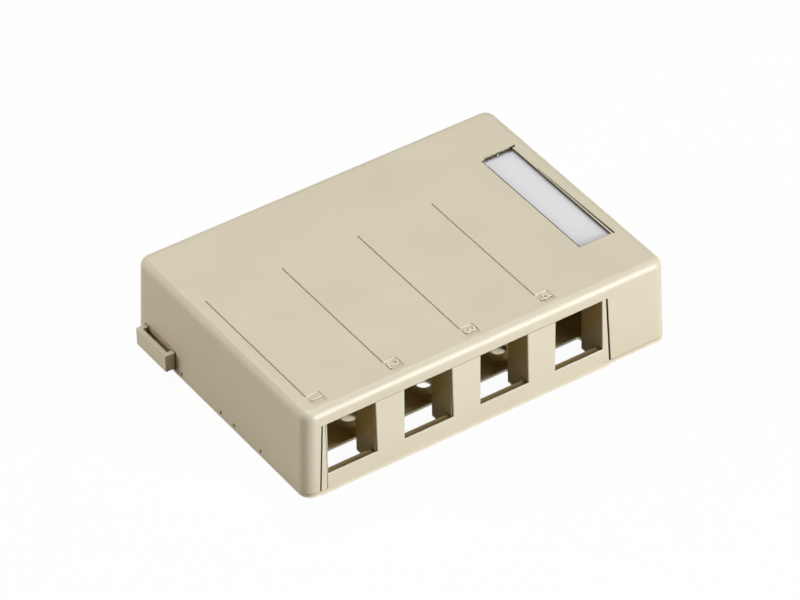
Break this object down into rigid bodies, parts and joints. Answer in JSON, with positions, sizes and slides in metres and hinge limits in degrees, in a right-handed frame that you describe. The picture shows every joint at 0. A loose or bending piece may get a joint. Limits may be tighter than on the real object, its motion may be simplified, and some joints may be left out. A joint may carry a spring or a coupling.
{
  "type": "surface mount jack box",
  "caption": "Low moulded wall box with a row of keystone-style ports in its front, a lift-off cover with numbered port lines, and a label under a clear window.",
  "frame": {"origin": "middle of the box's footprint on the mounting surface, the side loop left out of that measure", "axes": "+X along the row of ports to the right as seen from the ports, +Y from the ports to the back, +Z away from the mounting surface"},
  "size_m": [0.1132, 0.0797, 0.0264],
  "materials": {
    "base_plastic": "fine moulded texture, ivory",
    "cover_plastic": "fine moulded texture, ivory",
    "label_paper": "smooth pale card",
    "window_plastic": "clear polished strip"
  },
  "bodies": {
    "base": {"base": "base_plastic"},
    "cover": {"cover": "cover_plastic", "paper_label": "label_paper"},
    "label_window": {"label_window": "window_plastic"}
  },
  "joints": [
    {"name": "cover_lift", "type": "slide", "parent": "base", "child": "cover", "axis": [0, 0, 1], "range_m": [0, 0.028]},
    {"name": "window_lift", "type": "slide", "parent": "cover", "child": "label_window", "axis": [0, 0, 1], "range_m": [0, 0.004]}
  ]
}
